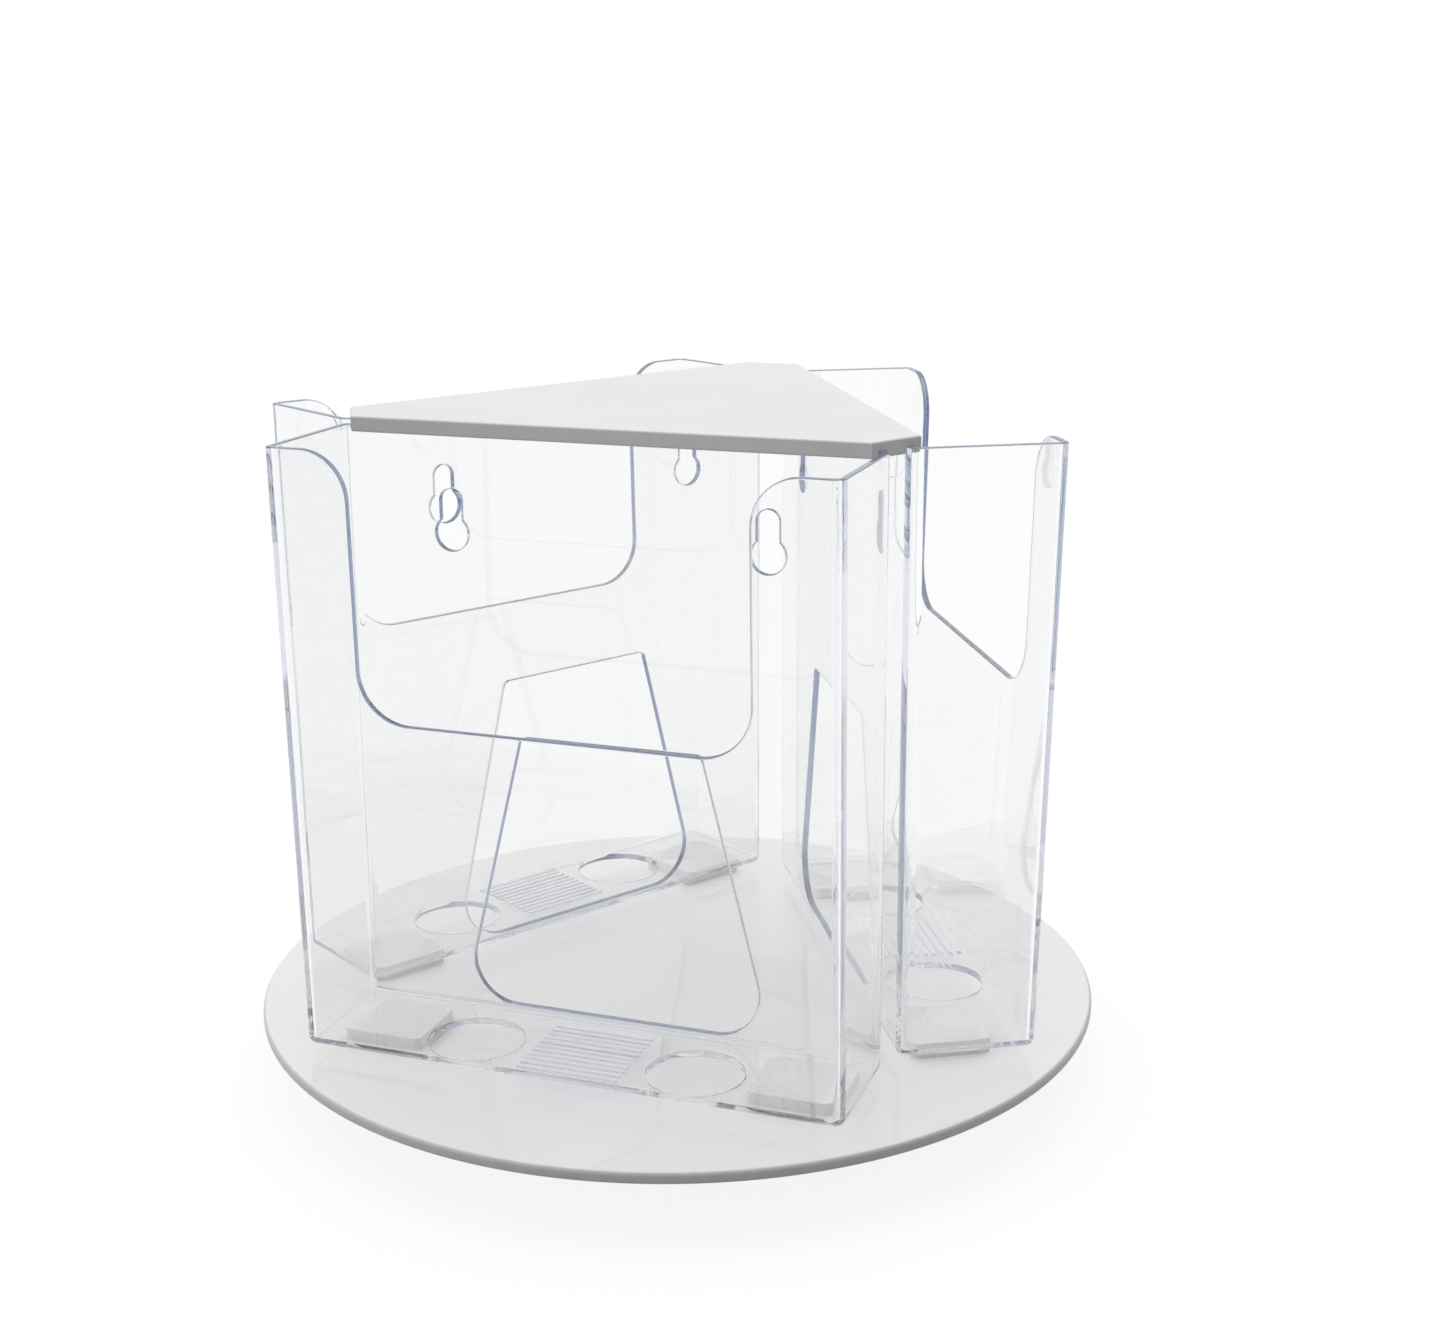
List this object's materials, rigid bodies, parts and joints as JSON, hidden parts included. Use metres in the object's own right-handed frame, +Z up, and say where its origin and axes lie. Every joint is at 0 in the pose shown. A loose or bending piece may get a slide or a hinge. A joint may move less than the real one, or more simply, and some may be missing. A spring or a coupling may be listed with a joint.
{
  "type": "rotating leaflet dispenser",
  "caption": "Clear open-topped leaflet pockets set back to back in a triangle on a round white base that turns on a ball-bearing turntable, tied together by a white top plate.",
  "frame": {"origin": "on the axis of rotation, at the underside of the rubber feet", "axes": "+Z up along the axis of rotation; -Y is the way the front pocket faces"},
  "size_m": [0.2548, 0.2548, 0.2002],
  "materials": {
    "clear_plastic": "polished clear polystyrene",
    "grey_foam": "fine closed-cell foam",
    "white_plate": "satin",
    "white_base": "gloss",
    "white_foot_plate": "satin",
    "zinc_steel": "zinc plated, pressed",
    "rivet_steel": "plain pressed steel",
    "ball_steel": "polished",
    "nylon": "natural nylon",
    "screw_steel": "zinc plated",
    "black_rubber": "matt"
  },
  "bodies": {
    "base": {"foot_plate": "white_foot_plate", "lower_race_plate": "zinc_steel", "centre_rivet": "rivet_steel", "foot_plate_screws": "screw_steel", "rubber_foot_1": "black_rubber", "rubber_foot_2": "black_rubber", "rubber_foot_3": "black_rubber", "rubber_foot_4": "black_rubber"},
    "carousel": {"base_disc": "white_base", "top_plate": "white_plate", "upper_race_plate": "zinc_steel", "disc_screws": "screw_steel", "pocket_front": "clear_plastic", "pocket_right": "clear_plastic", "pocket_left": "clear_plastic", "foam_pad_front_a": "grey_foam", "foam_pad_front_b": "grey_foam", "foam_pad_right_a": "grey_foam", "foam_pad_right_b": "grey_foam", "foam_pad_left_a": "grey_foam", "foam_pad_left_b": "grey_foam"},
    "ball_cage": {"bearing_balls": "ball_steel", "ball_retainer": "nylon"}
  },
  "joints": [
    {"name": "carousel_spin", "type": "hinge", "parent": "base", "child": "carousel", "pos_m": [0, 0, 0.0113], "axis": [0, 0, 1], "continuous": true},
    {"name": "ball_cage_spin", "type": "hinge", "parent": "base", "child": "ball_cage", "pos_m": [0, 0, 0.0113], "axis": [0, 0, 1], "continuous": true}
  ],
  "couplings": [
    {"joint": "ball_cage_spin", "follows": "carousel_spin", "ratio": 0.5}
  ]
}
